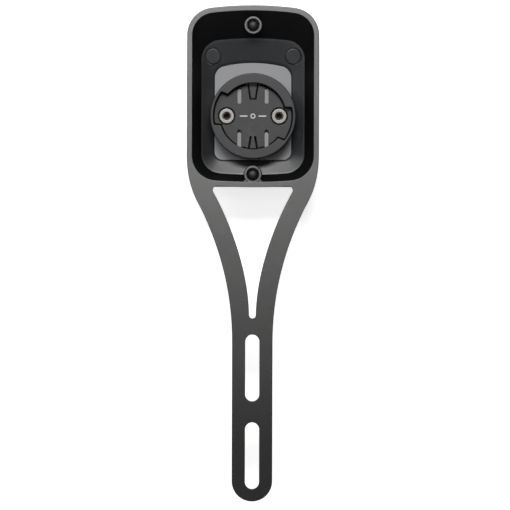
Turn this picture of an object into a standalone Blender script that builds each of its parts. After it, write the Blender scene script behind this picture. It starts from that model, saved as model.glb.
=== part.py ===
"""Bicycle computer mount: a slotted aluminium bracket that carries a tray and a quarter-turn receiver.

The receiver stands on a spring-loaded stage. Pushed from below, the stage rises out of the rim so
that the computer can be turned; let go, it drops back and the computer sits inside the rim.

Lengths below are in millimetres and are turned into metres when a mesh is made.
The origin is the centre of the tang's clamping pad. +Y points to the front, +X right, +Z up.
"""
import math

import bpy
import bmesh

MM = 0.001
GAP = 0.3                       # room kept between pieces that touch

# Bracket plate
PLATE_TOP = 4.0
PLATE_BOTTOM = 0.4              # the clamping pad stands this much lower, at zero
TANG_HALF_WIDTH = 7.8
TANG_END = -34.5
PAD_FRONT = 33.0
SLOT_WIDTH = 5.43
SLOT_LENGTH = 25.7
SLOT_CENTRES = (-16.9, 16.9)

# Arms: where the outer and inner edges turn, and how steeply they lean there
ARM_START = 26.5
ARM_TURN = (19.7, 77.7)
ARM_LEAN = math.radians(25.8)
ARM_END = 98.7
ARM_HANDLES = (16.5, 19.7, 3.4, 12.0)    # how long each curve of the outer edge keeps its direction
FORK_TIP = 36.0
FORK_TIP_RADIUS = 1.3
FORK_CORNER = (16.5, 86.9)
FORK_LEAN = math.radians(28.9)
FORK_CORNER_RADIUS = 1.5
FORK_HANDLES = (13.0, 19.0)              # the same for the fork's side: at its tip, and at its corner

# Rim, as half width, rear edge, front edge, rear and front corner radius, rear and front bow (deg)
RIM_OUTER = (25.44, 86.5, 156.6, 9.0, 10.6, 0.0, 7.0)
RIM_INNER = (23.4, 88.6, 154.5, 9.6, 8.6, 4.0, 7.0)
WALL_FOOT = (19.85, 91.4, 144.1, 7.6, 7.4, 5.0, 6.0)
WALL_FOOT_Z = -5.0
SKIRT_INSET = 0.7

# Bosses for the two screws that hold the tray
BOSSES = {"front": 148.95, "rear": 91.4}
BOSS_RADIUS = 3.35
BOSS_TOP = 3.9
BOSS_WEB = (3.15, 1.1)          # half width of the web that joins the rear boss to the rim, and its fillet
BOSS_FLOOR = 1.0
BOSS_COUNTERBORE = 2.6
BOSS_HOLE = 1.6
BOSS_SCREW_HEAD = 2.3
BOSS_SCREW_SHANK = 1.25
BOSS_SCREW_TIP = -9.0
BOSS_SCREW_DOME = 1.3           # how far the dome rises over the head's edge
INSERT_OUTER = 2.0
INSERT_INNER = 1.55

# Tray
TRAY_TOP = WALL_FOOT_Z - GAP
TRAY_BOTTOM = -21.0
TRAY_TAPER = (5.0, 3.6, 12.0)   # how far the sides, the rear and the front draw in at the bottom
TRAY_WALL = 1.6
PAD_SPOTS = ((-15.5, 137.1), (15.5, 137.1))
PAD_SPOT_TOP = -6.0
PILLAR_RADIUS = 3.2
REAR_PILLAR = (0.0, 96.5)
COVER_SCREWS = ((-14.6, 136.2), (14.6, 136.2), REAR_PILLAR)
COVER_SCREW_HOLE_END = -14.5

# Stage: the flat panel, what is under it, and the receiver on it
CENTRE_Y = 114.0
PANEL = (14.8, 97.1, 134.6, 2.2, 4.6, 0.0, 13.0)
PANEL_TOP = -7.0
PANEL_BOTTOM = -8.8
RIB_TOP = -2.6                  # four ribs stand on the panel, one in each slot of the receiver
RIB_WIDTH = 1.1
WEB_TOP = PANEL_BOTTOM - GAP
WEB_BOTTOM = -10.3
GUIDE_X = 10.15
SCREW_RADIUS = 1.5
SCREW_HOLE = 1.8
SLEEVE_RADIUS = 2.4
BUSH_INNER = 2.7
BUSH_OUTER = 3.3
BUSH_BOTTOM = -11.9
BAR_TOP = -17.2
BAR_BOTTOM = -19.0
BAR_RADIUS = 6.5
NUT_ACROSS_FLATS = 5.5
NUT_BOTTOM = -20.9
PUSH_PAD_RADIUS = 6.4

# Springs, cone shaped so that each turn drops inside the next
SPRING_WIRE = 0.3               # radius
SPRING_TOP_RADIUS = 3.95
SPRING_BOTTOM_RADIUS = 5.75
SPRING_TURNS = 3.0

# Bottom cover
COVER_TOP = TRAY_BOTTOM - GAP
COVER_BOTTOM = -23.0
COVER_HEAD_FLOOR = -22.0
COVER_HEAD_RADIUS = 2.0
COVER_SHANK_RADIUS = 1.0
COVER_SCREW_TIP = -15.2

# Quarter-turn receiver
RECEIVER_RADIUS = 16.5
RECEIVER_TOP = 1.0
LIP_RADIUS = 12.9
LIP_BOTTOM = -0.6
UNDERCUT_RADIUS = 15.1
ENTRY_RADIUS = 15.45
ENTRY_SECTORS = ((-37.5, 12.5), (142.5, 192.5))
ENTRY_FLARE = 5.0               # degrees that each entry is wider at the lip's inner edge
SOCKET_FLOOR = -2.4
SOCKET_UNDERSIDE = -4.0
SKIRT_RADIUS = 14.9
SKIRT_FOOT = -5.9               # clear of the tray's slope, which it overhangs at the sides
SCREW_HEAD_RADIUS = 3.0
SCREW_HEAD_TOP = -2.5
SCREW_HEAD_HEIGHT = 3.0
HEAD_POCKET_RADIUS = 3.4
PILLAR_OUTER = 4.2              # the receiver's pillar round each screw head
HEX_CORNER_RADIUS = 1.155
HEX_DEPTH = 1.8
LIGHT_SLOT = (5.25, 1.7)        # across from the centre, and width
LIGHT_SLOT_ENDS = {1: (4.65, 10.8), -1: (5.15, 12.2)}    # near and far end, in front and at the rear
END_SLIT = (12.3, 12.75, 18.0)           # inner and outer radius, half angle, at the rear tongue's end

# Detent tongues: root and free end along Y, half width at the root and at the free end, slit beside
# the tongue and slit at its free end
FRONT_TONGUE = (127.6, 120.85, 1.85, 0.8, 0.48, 0.4)
REAR_TONGUE = (106.3, 101.55, 0.5, 1.35, 0.65, 0.5)
TONGUE_TOP = -2.45
TONGUE_BOTTOM = -3.6


# ---------------------------------------------------------------- outlines

def arc(centre, radius, start, end, steps):
    """Points on an arc from start to end, in degrees, both ends included."""
    points = []
    for step in range(steps + 1):
        angle = math.radians(start + (end - start) * step / steps)
        points.append((centre[0] + radius * math.cos(angle), centre[1] + radius * math.sin(angle)))
    return points


def bezier(p0, p1, p2, p3, steps):
    """Points on a cubic curve, without its first point."""
    points = []
    for step in range(1, steps + 1):
        t = step / steps
        weights = ((1 - t) ** 3, 3 * t * (1 - t) ** 2, 3 * t * t * (1 - t), t ** 3)
        points.append(tuple(sum(w * p[axis] for w, p in zip(weights, (p0, p1, p2, p3)))
                            for axis in (0, 1)))
    return points


def mirrored(right):
    """Close a right-hand path that starts and ends on the centre line."""
    left = [(-x, y) for x, y in reversed(right[1:-1])]
    return right + left


def front_path(half_width, front, radius, bow, steps=12):
    """Right front corner and bowed front edge, from the side to the centre line."""
    lean = math.radians(bow)
    x_end = half_width - radius + radius * math.sin(lean)
    sag = math.tan(lean) * x_end / 2
    centre = (half_width - radius, front - sag - radius * math.cos(lean))
    path = arc(centre, radius, 0, 90 - bow, steps)
    for step in range(1, 5):
        x = x_end * (1 - step / 4)
        path.append((x, front - sag * (x / x_end) ** 2))
    return path


def rounded_outline(shape, grow=0.0, steps=12):
    """Bowed rectangle, counterclockwise from the middle of its rear edge."""
    half_width, rear, front, rear_radius, front_radius, rear_bow, front_bow = shape
    half_width += grow
    rear -= grow
    front += grow
    rear_half = [(x, -y) for x, y in front_path(half_width, -rear, rear_radius + grow, rear_bow, steps)]
    front_half = front_path(half_width, front, front_radius + grow, front_bow, steps)
    return mirrored(rear_half[::-1] + front_half)


def circle(centre, radius, steps):
    return arc(centre, radius, 0, 360 - 360 / steps, steps - 1)


def slot_outline(centre, length, width, steps=8):
    """Round-ended slot along Y."""
    reach = (length - width) / 2
    top = arc((centre[0], centre[1] + reach), width / 2, 0, 180, steps)
    bottom = arc((centre[0], centre[1] - reach), width / 2, 180, 360, steps)
    return top + bottom


def plate_outline():
    """Tang, arms and rim as one closed outline."""
    lean = (math.sin(ARM_LEAN), math.cos(ARM_LEAN))
    turn = ARM_TURN
    side = RIM_OUTER[0]
    right = arc((0, TANG_END + TANG_HALF_WIDTH), TANG_HALF_WIDTH, -90, 0, 12)
    right.append((TANG_HALF_WIDTH, ARM_START))
    start_handle, before_turn, after_turn, end_handle = ARM_HANDLES
    right += bezier((TANG_HALF_WIDTH, ARM_START), (TANG_HALF_WIDTH, ARM_START + start_handle),
                    (turn[0] - before_turn * lean[0], turn[1] - before_turn * lean[1]), turn, 16)
    right += bezier(turn, (turn[0] + after_turn * lean[0], turn[1] + after_turn * lean[1]),
                    (side, ARM_END - end_handle), (side, ARM_END), 10)
    right += front_path(side, RIM_OUTER[2], RIM_OUTER[4], RIM_OUTER[6])
    return mirrored(right)


def fork_outline():
    """The opening between the arms: a tall triangle with curved sides and a bowed top."""
    tip = (0, FORK_TIP + FORK_TIP_RADIUS)
    corner_x, corner_y = FORK_CORNER
    radius = FORK_CORNER_RADIUS
    centre = (corner_x - 1.75 * radius, corner_y - radius)
    start = (centre[0] + radius * math.cos(FORK_LEAN), centre[1] - radius * math.sin(FORK_LEAN))
    tip_handle, corner_handle = FORK_HANDLES
    back = (start[0] - corner_handle * math.sin(FORK_LEAN), start[1] - corner_handle * math.cos(FORK_LEAN))
    right = arc(tip, FORK_TIP_RADIUS, -90, 0, 6)
    right += bezier(right[-1], (FORK_TIP_RADIUS + 0.1, tip[1] + tip_handle), back, start, 16)
    right += arc(centre, radius, -math.degrees(FORK_LEAN) + 15, 88, 7)
    reach = right[-1][0]
    bow = corner_y - RIM_OUTER[1]
    right += [(reach * t, RIM_OUTER[1] + bow * t * t) for t in (0.75, 0.5, 0.25, 0.0)]
    return mirrored(right)


# ---------------------------------------------------------------- solids

def mesh_object(name, bm):
    """Scale the finished mesh to metres and put it in the scene."""
    bmesh.ops.remove_doubles(bm, verts=bm.verts[:], dist=1e-4)
    bmesh.ops.recalc_face_normals(bm, faces=bm.faces[:])
    bmesh.ops.scale(bm, vec=(MM, MM, MM), verts=bm.verts[:])
    mesh = bpy.data.meshes.new(name)
    bm.to_mesh(mesh)
    bm.free()
    obj = bpy.data.objects.new(name, mesh)
    bpy.context.collection.objects.link(obj)
    return obj


def bridge(bm, lower, upper):
    count = len(lower)
    for i in range(count):
        j = (i + 1) % count
        bm.faces.new((lower[i], lower[j], upper[j], upper[i]))


def loft(name, sections):
    """Solid through (outline, z) sections that all have the same number of points."""
    bm = bmesh.new()
    rings = [[bm.verts.new((x, y, z)) for x, y in outline] for outline, z in sections]
    for lower, upper in zip(rings, rings[1:]):
        bridge(bm, lower, upper)
    bm.faces.new(rings[0][::-1])
    bm.faces.new(rings[-1])
    return mesh_object(name, bm)


def prism(name, outline, bottom, top):
    return loft(name, ((outline, bottom), (outline, top)))


def cylinder(name, centre, radius, bottom, top, steps=20):
    return prism(name, circle(centre, radius, steps), bottom, top)


def turned(name, centre, profile, steps=20):
    """Solid turned about a vertical axis. A profile point is (radius, z); radius 0 closes an end."""
    bm = bmesh.new()
    rings = []
    for radius, z in profile:
        if radius == 0:
            rings.append([bm.verts.new((centre[0], centre[1], z))])
        else:
            rings.append([bm.verts.new((x, y, z)) for x, y in circle(centre, radius, steps)])
    pairs = list(zip(rings, rings[1:]))
    if len(rings[0]) > 1:
        pairs.append((rings[-1], rings[0]))
    for lower, upper in pairs:
        if len(lower) == len(upper):
            bridge(bm, lower, upper)
            continue
        tip, ring = (lower[0], upper) if len(lower) == 1 else (upper[0], lower)
        for i in range(steps):
            bm.faces.new((tip, ring[i], ring[(i + 1) % steps]))
    return mesh_object(name, bm)


def tube(name, centre, outer, inner, bottom, top, steps=20):
    profile = ((outer, bottom), (outer, top), (inner, top), (inner, bottom))
    return turned(name, centre, profile, steps)


def combine(obj, tool, operation):
    """Apply one Boolean of tool on obj and remove the tool."""
    modifier = obj.modifiers.new("combine", "BOOLEAN")
    modifier.operation = operation
    modifier.solver = "EXACT"
    modifier.object = tool
    graph = bpy.context.evaluated_depsgraph_get()
    result = bpy.data.meshes.new_from_object(obj.evaluated_get(graph))
    obj.modifiers.remove(modifier)
    obj.data = result
    bpy.data.objects.remove(tool)


def cut(obj, *tools):
    for tool in tools:
        combine(obj, tool, "DIFFERENCE")


def join(obj, *tools):
    for tool in tools:
        combine(obj, tool, "UNION")


def clean(obj):
    """Remove the slivers that Booleans leave on flat faces."""
    bm = bmesh.new()
    bm.from_mesh(obj.data)
    bmesh.ops.remove_doubles(bm, verts=bm.verts[:], dist=2e-6)
    bmesh.ops.dissolve_degenerate(bm, edges=bm.edges[:], dist=1e-6)
    bm.to_mesh(obj.data)
    bm.free()


# ---------------------------------------------------------------- materials and placing

def material(name, colour, roughness, metallic=0.0):
    mat = bpy.data.materials.new(name)
    mat.use_nodes = True
    shader = mat.node_tree.nodes["Principled BSDF"]
    shader.inputs["Base Color"].default_value = (*colour, 1.0)
    shader.inputs["Roughness"].default_value = roughness
    shader.inputs["Metallic"].default_value = metallic
    return mat


def empty(name, location, parent=None):
    obj = bpy.data.objects.new(name, None)
    obj.location = [value * MM for value in location]
    bpy.context.collection.objects.link(obj)
    bpy.context.view_layer.update()
    if parent:
        attach(obj, parent)
    return obj


def attach(obj, parent):
    """Parent obj and keep it where it is."""
    obj.parent = parent
    obj.matrix_parent_inverse = parent.matrix_world.inverted()


def finish(obj, look, parent=None, smooth_below=35.0):
    """Give the piece its own material, smooth its round faces and hang it on its body."""
    clean(obj)
    colour, roughness, metallic = look
    obj.data.materials.clear()
    obj.data.materials.append(material(obj.name, colour, roughness, metallic))
    obj.data.shade_smooth()
    obj.data.set_sharp_from_angle(angle=math.radians(smooth_below))
    if parent:
        attach(obj, parent)
    return obj


ANODISED = ((0.10, 0.10, 0.105), 0.42, 0.9)
BLACK_PLASTIC = ((0.02, 0.021, 0.023), 0.4, 0.0)
PANEL_GREY = ((0.22, 0.22, 0.23), 0.45, 0.0)
RECEIVER_BLACK = ((0.05, 0.05, 0.052), 0.6, 0.0)
STAINLESS = ((0.62, 0.60, 0.57), 0.35, 1.0)
BLACK_STEEL = ((0.015, 0.015, 0.016), 0.35, 0.6)
BRASS = ((0.70, 0.50, 0.22), 0.35, 1.0)
BRONZE = ((0.48, 0.33, 0.18), 0.5, 0.8)
RUBBER = ((0.03, 0.03, 0.03), 0.8, 0.0)


# ---------------------------------------------------------------- mount body

def boss_web_outline():
    """Short neck from the rim's rear edge to the rear boss, with a round fillet on each side."""
    half, fillet = BOSS_WEB
    edge = RIM_INNER[1] + 0.1
    right = [(0, edge - 1.2), (half + fillet, edge - 1.2)]
    right += arc((half + fillet, edge + fillet), fillet, 270, 180, 5)
    right += [(half, BOSSES["rear"] - 0.2), (0, BOSSES["rear"] - 0.2)]
    return mirrored(right)


def make_bracket():
    """Plate with arms, the rim's skirt and its sloping inner wall, and the two screw bosses."""
    bracket = prism("bracket", plate_outline(), 0.0, PLATE_TOP)
    relief = [(-40, PAD_FRONT), (40, PAD_FRONT), (40, 170), (-40, 170)]
    cut(bracket, prism("relief", relief, -1, PLATE_BOTTOM), prism("fork", fork_outline(), -1, 6))
    skirt = loft("skirt", (
        (rounded_outline(RIM_OUTER, -SKIRT_INSET), WALL_FOOT_Z),
        (rounded_outline(RIM_OUTER, -0.02), 0.0),
        (rounded_outline(RIM_OUTER, -0.02), PLATE_TOP - 0.6)))
    join(bracket, skirt)
    cut(bracket, loft("nest", (
        (rounded_outline(WALL_FOOT), WALL_FOOT_Z - 1),
        (rounded_outline(WALL_FOOT), WALL_FOOT_Z),
        (rounded_outline(RIM_INNER), PLATE_TOP),
        (rounded_outline(RIM_INNER), PLATE_TOP + 1))))
    for y in BOSSES.values():
        join(bracket, cylinder("boss", (0, y), BOSS_RADIUS, WALL_FOOT_Z, BOSS_TOP, 32))
    join(bracket, prism("web", boss_web_outline(), WALL_FOOT_Z + 0.02, BOSS_TOP - 0.02))
    for y in BOSSES.values():
        centre = (0, y)
        cut(bracket, cylinder("counterbore", centre, BOSS_COUNTERBORE, BOSS_FLOOR, 6, 32),
            cylinder("hole", centre, BOSS_HOLE, -8, BOSS_FLOOR + 1))
    for y in SLOT_CENTRES:
        cut(bracket, prism("slot", slot_outline((0, y), SLOT_LENGTH, SLOT_WIDTH), -1, 6))
    return finish(bracket, ANODISED)


def tray_section(z, shrink=0.0):
    """Outside outline of the tray at height z, drawn in like a boat's hull towards the bottom."""
    depth = max(0.0, (TRAY_TOP - z) / (TRAY_TOP - TRAY_BOTTOM))
    taper = depth ** 1.7
    half_width, rear, front, rear_radius, front_radius, rear_bow, front_bow = RIM_OUTER
    shape = (half_width - SKIRT_INSET - TRAY_TAPER[0] * taper, rear + SKIRT_INSET + TRAY_TAPER[1] * taper,
             front - SKIRT_INSET - TRAY_TAPER[2] * taper, rear_radius, front_radius, rear_bow, front_bow)
    return rounded_outline(shape, -shrink, steps=8)


def make_tray():
    levels = [TRAY_BOTTOM + (TRAY_TOP - TRAY_BOTTOM) * step / 5 for step in range(6)]
    tray = loft("tray", [(tray_section(z), z) for z in levels])
    middle = (TRAY_BOTTOM + WEB_BOTTOM) / 2
    cut(tray, loft("cavity", (
        (tray_section(TRAY_BOTTOM, TRAY_WALL), TRAY_BOTTOM - 1),
        (tray_section(TRAY_BOTTOM, TRAY_WALL), TRAY_BOTTOM),
        (tray_section(middle, TRAY_WALL), middle),
        (tray_section(WEB_BOTTOM, TRAY_WALL + 0.6), WEB_BOTTOM))))
    floor = loft("floor", (
        (rounded_outline(PANEL, GAP + 0.1, 8), PANEL_TOP),
        (rounded_outline(WALL_FOOT, 0, 8), TRAY_TOP + 0.05),
        (rounded_outline(WALL_FOOT, 0, 8), TRAY_TOP + 1)))
    pocket = prism("pocket", rounded_outline(PANEL, GAP + 0.1, 8), WEB_TOP, TRAY_TOP + 1)
    cut(tray, floor, pocket)
    for spot in PAD_SPOTS:
        cut(tray, cylinder("pad_clearance", spot, PILLAR_RADIUS, PAD_SPOT_TOP, TRAY_TOP + 1, 28))
        join(tray, cylinder("pillar", spot, PILLAR_RADIUS - 0.02, TRAY_BOTTOM, PAD_SPOT_TOP, 28))
    join(tray, cylinder("rear_pillar", REAR_PILLAR, PILLAR_RADIUS, TRAY_BOTTOM, WEB_BOTTOM + 1))
    for spot in COVER_SCREWS:
        cut(tray, cylinder("cover_screw_hole", spot, COVER_SHANK_RADIUS + GAP,
                           TRAY_BOTTOM - 1, COVER_SCREW_HOLE_END, 16))
    for y in BOSSES.values():
        join(tray, cylinder("boss_seat", (0, y), BOSS_RADIUS, WEB_BOTTOM - 2, TRAY_TOP - 0.01, 20))
        cut(tray, cylinder("insert_hole", (0, y), INSERT_OUTER + GAP, WEB_BOTTOM, TRAY_TOP + 1))
    for side in (-1, 1):
        cut(tray, cylinder("bush_hole", (side * GUIDE_X, CENTRE_Y), BUSH_OUTER + GAP,
                           WEB_BOTTOM - 1, WEB_TOP + 1))
    return finish(tray, BLACK_PLASTIC)


def make_boss_screw(name, y):
    """Domed black screw in a boss; its shank reaches the brass insert below."""
    seat = BOSS_FLOOR + GAP
    edge = seat + 0.5
    profile = [(0, BOSS_SCREW_TIP), (BOSS_SCREW_SHANK, BOSS_SCREW_TIP), (BOSS_SCREW_SHANK, seat),
               (BOSS_SCREW_HEAD, seat), (BOSS_SCREW_HEAD, edge)]
    for step in range(1, 5):
        angle = math.radians(step * 90 / 5)
        profile.append((BOSS_SCREW_HEAD * math.cos(angle), edge + BOSS_SCREW_DOME * math.sin(angle)))
    profile.append((0, edge + BOSS_SCREW_DOME))
    return finish(turned(name, (0, y), profile), BLACK_STEEL)


def make_cover():
    cover = loft("bottom_cover", (
        (tray_section(TRAY_BOTTOM, 1.2), COVER_BOTTOM),
        (tray_section(TRAY_BOTTOM, 0.5), COVER_BOTTOM + 0.5),
        (tray_section(TRAY_BOTTOM, 0.1), COVER_TOP)))
    below = COVER_BOTTOM - 1
    above = COVER_TOP + 1
    cut(cover, cylinder("push_hole", (0, CENTRE_Y), PUSH_PAD_RADIUS + 0.5, below, above, 40))
    for spot in COVER_SCREWS:
        cut(cover, cylinder("shank_hole", spot, COVER_SHANK_RADIUS + GAP, below, above, 16),
            cylinder("head_recess", spot, COVER_HEAD_RADIUS + GAP, below, COVER_HEAD_FLOOR))
    return finish(cover, BLACK_PLASTIC)


def make_cover_screw(name, spot):
    head_top = COVER_HEAD_FLOOR - GAP
    profile = ((0, COVER_BOTTOM + 0.4), (0.8, COVER_BOTTOM + 0.4), (0.8, COVER_BOTTOM),
               (COVER_HEAD_RADIUS, COVER_BOTTOM), (COVER_HEAD_RADIUS, head_top),
               (COVER_SHANK_RADIUS, head_top), (COVER_SHANK_RADIUS, COVER_SCREW_TIP - 0.7),
               (0, COVER_SCREW_TIP))
    return finish(turned(name, spot, profile, 16), BLACK_STEEL)


def make_spring(name, x):
    """Cone-shaped coil of round wire, wide at the bottom."""
    top = WEB_BOTTOM - GAP - SPRING_WIRE
    bottom = BAR_TOP + GAP + SPRING_WIRE
    sides = 6
    steps = int(SPRING_TURNS * 16)
    bm = bmesh.new()
    rings = []
    for step in range(steps + 1):
        t = step / steps
        angle = 2 * math.pi * SPRING_TURNS * t
        radius = SPRING_TOP_RADIUS + (SPRING_BOTTOM_RADIUS - SPRING_TOP_RADIUS) * t
        z = top + (bottom - top) * t
        ring = []
        for side in range(sides):
            turn = 2 * math.pi * side / sides
            out = radius + SPRING_WIRE * math.cos(turn)
            ring.append(bm.verts.new((x + out * math.cos(angle), CENTRE_Y + out * math.sin(angle),
                                      z + SPRING_WIRE * math.sin(turn))))
        rings.append(ring)
    for first, second in zip(rings, rings[1:]):
        bridge(bm, first, second)
    bm.faces.new(rings[0][::-1])
    bm.faces.new(rings[-1])
    return finish(mesh_object(name, bm), STAINLESS, smooth_below=80)


# ---------------------------------------------------------------- stage body

def make_stage_plate(stage):
    """Flat panel with four ribs that reach up through the receiver's slots."""
    plate = prism("stage_plate", rounded_outline(PANEL), PANEL_BOTTOM, PANEL_TOP)
    for side in (-1, 1):
        cut(plate, cylinder("hole", (side * GUIDE_X, CENTRE_Y), SCREW_HOLE,
                            PANEL_BOTTOM - 1, PANEL_TOP + 1))
    across, width = LIGHT_SLOT
    play = width - RIB_WIDTH
    for side in (-1, 1):
        for end, (near, far) in LIGHT_SLOT_ENDS.items():
            spot = (side * across, CENTRE_Y + end * (near + far) / 2)
            outline = slot_outline(spot, far - near - play, RIB_WIDTH, 4)
            join(plate, prism("rib", outline, PANEL_TOP - 0.5, RIB_TOP))
    return finish(plate, PANEL_GREY, stage)


def tongue_outline(shape, opening=False):
    """Tapered tongue, or the opening that leaves room round it."""
    root, free, root_half, free_half, side_slit, end_slit = shape
    if opening:
        root += GAP
        free -= end_slit
        root_half += side_slit
        free_half += side_slit
    return [(free_half, free), (root_half, root), (-root_half, root), (-free_half, free)]


def sector(name, start, end):
    """Wedge that opens the lip so that the computer's tabs can drop in."""
    centre = (0, CENTRE_Y)
    outer = arc(centre, ENTRY_RADIUS, start, end, 14)
    inner = arc(centre, LIP_RADIUS - 0.6, end + ENTRY_FLARE, start - ENTRY_FLARE, 14)
    return prism(name, outer + inner, LIP_BOTTOM - 0.5, RECEIVER_TOP + 1)


def make_receiver(stage):
    """Round socket with an undercut lip, two entry sectors, screw pillars, slots and tongue openings."""
    centre = (0, CENTRE_Y)
    foot = PANEL_TOP + GAP
    profile = ((0, SOCKET_FLOOR), (UNDERCUT_RADIUS, SOCKET_FLOOR), (UNDERCUT_RADIUS, LIP_BOTTOM),
               (LIP_RADIUS, LIP_BOTTOM), (LIP_RADIUS, RECEIVER_TOP - 0.3),
               (LIP_RADIUS + 0.3, RECEIVER_TOP), (RECEIVER_RADIUS - 0.4, RECEIVER_TOP),
               (RECEIVER_RADIUS, RECEIVER_TOP - 0.4), (RECEIVER_RADIUS, SKIRT_FOOT),
               (SKIRT_RADIUS, SKIRT_FOOT), (SKIRT_RADIUS, SOCKET_UNDERSIDE), (0, SOCKET_UNDERSIDE))
    receiver = turned("receiver", centre, profile, 64)
    for start, end in ENTRY_SECTORS:
        cut(receiver, sector("entry", start, end))
    for side in (-1, 1):
        spot = (side * GUIDE_X, CENTRE_Y)
        join(receiver, cylinder("pillar", spot, PILLAR_OUTER, foot, SOCKET_UNDERSIDE + 0.5, 28))
    for side in (-1, 1):
        spot = (side * GUIDE_X, CENTRE_Y)
        head_floor = SCREW_HEAD_TOP - SCREW_HEAD_HEIGHT - GAP
        cut(receiver, cylinder("head", spot, HEAD_POCKET_RADIUS, head_floor, 0, 28),
            cylinder("shank", spot, SCREW_HOLE, foot - 1, head_floor + 1, 20))
    across, width = LIGHT_SLOT
    for side in (-1, 1):
        for end, (near, far) in LIGHT_SLOT_ENDS.items():
            spot = (side * across, CENTRE_Y + end * (near + far) / 2)
            cut(receiver, prism("light_slot", slot_outline(spot, far - near, width, 4), -5, -1))
    for shape in (FRONT_TONGUE, REAR_TONGUE):
        cut(receiver, prism("tongue_opening", tongue_outline(shape, opening=True),
                            SOCKET_UNDERSIDE - 0.5, SOCKET_FLOOR + 0.4))
    near, far, half_angle = END_SLIT
    slit = arc(centre, far, 270 - half_angle, 270 + half_angle, 8)
    slit += arc(centre, near, 270 + half_angle, 270 - half_angle, 8)
    cut(receiver, prism("end_slit", slit, SOCKET_UNDERSIDE - 0.5, SOCKET_FLOOR + 0.4))
    return finish(receiver, RECEIVER_BLACK, stage)


def make_tongue(name, shape, hinge):
    """Springy tongue that bears on the computer's tab."""
    return finish(prism(name, tongue_outline(shape), TONGUE_BOTTOM, TONGUE_TOP), RECEIVER_BLACK, hinge)


def make_receiver_screw(name, x, stage):
    """Long socket screw that clamps the receiver, stage plate, sleeve and lift bar together."""
    top = SCREW_HEAD_TOP
    under_head = top - SCREW_HEAD_HEIGHT
    profile = ((0, NUT_BOTTOM), (SCREW_RADIUS, NUT_BOTTOM), (SCREW_RADIUS, under_head),
               (SCREW_HEAD_RADIUS, under_head), (SCREW_HEAD_RADIUS, top - 0.35),
               (SCREW_HEAD_RADIUS - 0.35, top), (0, top))
    screw = turned(name, (x, CENTRE_Y), profile, 32)
    cut(screw, cylinder("socket", (x, CENTRE_Y), HEX_CORNER_RADIUS, top - HEX_DEPTH, top + 1, 6))
    return finish(screw, STAINLESS, stage)


def make_lift_bar(stage):
    reach = GUIDE_X
    outline = arc((reach, CENTRE_Y), BAR_RADIUS, -90, 90, 14)
    outline += arc((-reach, CENTRE_Y), BAR_RADIUS, 90, 270, 14)
    bar = prism("lift_bar", outline, BAR_BOTTOM, BAR_TOP)
    for side in (-1, 1):
        cut(bar, cylinder("hole", (side * reach, CENTRE_Y), SCREW_HOLE, BAR_BOTTOM - 1, BAR_TOP + 1))
    return finish(bar, ANODISED, stage)


def make_lock_nut(name, x, stage):
    across_corners = NUT_ACROSS_FLATS / 2 / math.cos(math.pi / 6)
    nut = cylinder(name, (x, CENTRE_Y), across_corners, NUT_BOTTOM, BAR_BOTTOM - GAP, 6)
    cut(nut, cylinder("thread", (x, CENTRE_Y), SCREW_HOLE, NUT_BOTTOM - 1, BAR_BOTTOM + 1))
    return finish(nut, STAINLESS, stage)


def make_push_pad(stage):
    """Thumb pad under the lift bar, dished a little, just inside the cover's round hole."""
    low = COVER_BOTTOM + 0.2
    profile = ((0, low + 0.6), (4.6, low + 0.3), (5.4, low), (PUSH_PAD_RADIUS - 0.4, low),
               (PUSH_PAD_RADIUS, low + 0.4), (PUSH_PAD_RADIUS, BAR_BOTTOM - GAP), (0, BAR_BOTTOM - GAP))
    return finish(turned("push_pad", (0, CENTRE_Y), profile, 40), RUBBER, stage)


def build():
    for obj in list(bpy.data.objects):
        bpy.data.objects.remove(obj)

    make_bracket()
    make_tray()
    make_cover()
    for end, y in BOSSES.items():
        make_boss_screw(end + "_boss_screw", y)
        insert = tube(end + "_brass_insert", (0, y), INSERT_OUTER, INSERT_INNER,
                      WEB_BOTTOM + 0.7, TRAY_TOP - GAP)
        finish(insert, BRASS)
    for place, spot in zip(("left", "right", "rear"), COVER_SCREWS):
        make_cover_screw(place + "_cover_screw", spot)

    stage = empty("stage_origin", (0, CENTRE_Y, PANEL_TOP))
    make_stage_plate(stage)
    make_receiver(stage)
    make_lift_bar(stage)
    make_push_pad(stage)
    for place, side in (("left", -1), ("right", 1)):
        x = side * GUIDE_X
        make_spring(place + "_spring", x)
        bush = tube(place + "_guide_bush", (x, CENTRE_Y), BUSH_OUTER, BUSH_INNER, BUSH_BOTTOM, WEB_TOP)
        finish(bush, BRONZE)
        sleeve = tube(place + "_guide_sleeve", (x, CENTRE_Y), SLEEVE_RADIUS, SCREW_HOLE,
                      BAR_TOP + GAP, PANEL_BOTTOM - GAP)
        finish(sleeve, STAINLESS, stage)
        make_receiver_screw(place + "_receiver_screw", x, stage)
        make_lock_nut(place + "_lock_nut", x, stage)

    for name, shape in (("front_detent_tongue", FRONT_TONGUE), ("rear_detent_tongue", REAR_TONGUE)):
        middle = (TONGUE_TOP + TONGUE_BOTTOM) / 2
        hinge = empty(name + "_hinge", (0, shape[0], middle), stage)
        make_tongue(name, shape, hinge)


build()
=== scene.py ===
"""Looks of the bicycle computer mount: fine surfaces, fasteners, springs and materials on the CAD frame.

Shapes are worked out in millimetres in the row frame and turned into metres when a piece is made.
"""

import math

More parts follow.
